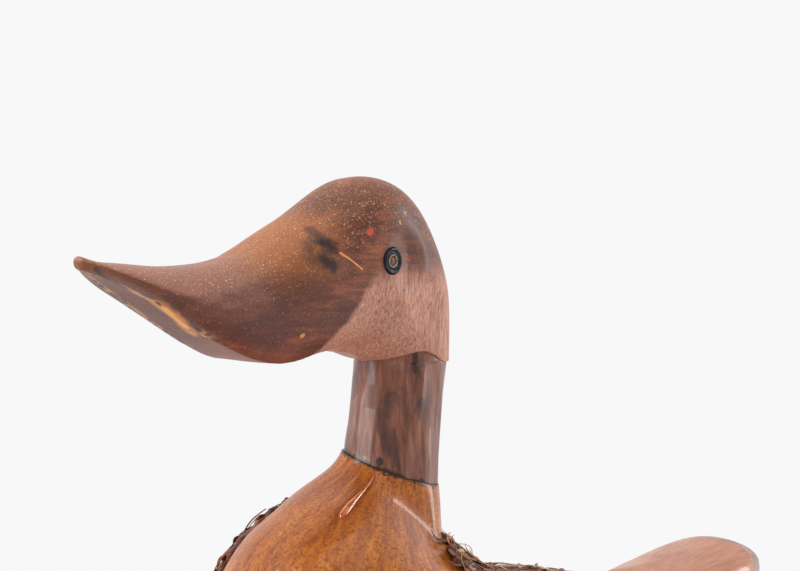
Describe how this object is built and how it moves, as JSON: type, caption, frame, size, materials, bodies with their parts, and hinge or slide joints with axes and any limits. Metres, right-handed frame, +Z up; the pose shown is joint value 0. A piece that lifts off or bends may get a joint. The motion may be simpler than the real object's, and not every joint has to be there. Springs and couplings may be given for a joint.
{
  "type": "floating duck decoy",
  "caption": "Carved wooden floating duck decoy: head turns on a through bolt, fibre mats on the back, let-in tail, ballast bar and anchor ring.",
  "frame": {"origin": "on the flat base plane, under the middle of the overall length and width", "axes": "+Z up, +X from bill to tail along the duck's length, +Y towards the duck's right side"},
  "size_m": [0.347, 0.1609, 0.2292],
  "materials": {
    "stained_wood": "dark stained and waxed carved wood",
    "varnished_wood": "glossy orange-brown varnish",
    "tail_wood": "smooth varnish, dark at the tip",
    "dowel_wood": "bare turned wood",
    "root_fibre": "rough shaggy root fibre",
    "brass": "dull aged brass",
    "eye_brass": "tarnished brass",
    "eye_metal": "dark oxidised metal",
    "eye_wood": "stained wood",
    "steel": "plain zinc-plated steel",
    "lead": "dull cast lead",
    "leather": "undyed washer leather"
  },
  "bodies": {
    "float": {"neck": "stained_wood", "body": "varnished_wood", "tail": "tail_wood", "bottom_plug": "dowel_wood", "neck_dowel_left": "dowel_wood", "neck_dowel_right": "dowel_wood", "tail_dowel_left": "dowel_wood", "tail_dowel_right": "dowel_wood", "back_mat": "root_fibre", "left_flank_mat": "root_fibre", "right_flank_mat": "root_fibre", "neck_bush": "brass", "body_bush": "brass", "keel_screw_front": "steel", "keel_screw_rear": "steel", "line_staple": "steel", "keel_weight": "lead", "seam_washer": "leather", "left_mat_tack_1": "brass", "left_mat_tack_2": "brass", "left_mat_tack_3": "brass", "left_mat_tack_4": "brass", "right_mat_tack_1": "brass", "right_mat_tack_2": "brass", "right_mat_tack_3": "brass", "right_mat_tack_4": "brass", "back_mat_tack_1": "brass", "back_mat_tack_2": "brass", "back_mat_tack_3": "brass", "back_mat_tack_4": "brass"},
    "turning_head": {"head": "stained_wood", "head_insert": "brass", "head_bolt": "steel", "bolt_washer": "brass", "spring_washer": "steel", "lock_nut": "steel", "left_eye_ring": "eye_metal", "left_eye_eyelet": "eye_brass", "left_eye_plug": "eye_wood", "right_eye_ring": "eye_metal", "right_eye_eyelet": "eye_brass", "right_eye_plug": "eye_wood"},
    "anchor_ring": {"line_ring": "brass"}
  },
  "joints": [
    {"name": "head_turn", "type": "hinge", "parent": "float", "child": "turning_head", "pos_m": [-0.0387, 0, 0.165], "axis": [0, 0, 1], "continuous": true},
    {"name": "ring_swing", "type": "hinge", "parent": "float", "child": "anchor_ring", "pos_m": [-0.1249, 0, 0.02517], "axis": [0, 1, 0], "range_deg": [-20, 150]}
  ]
}
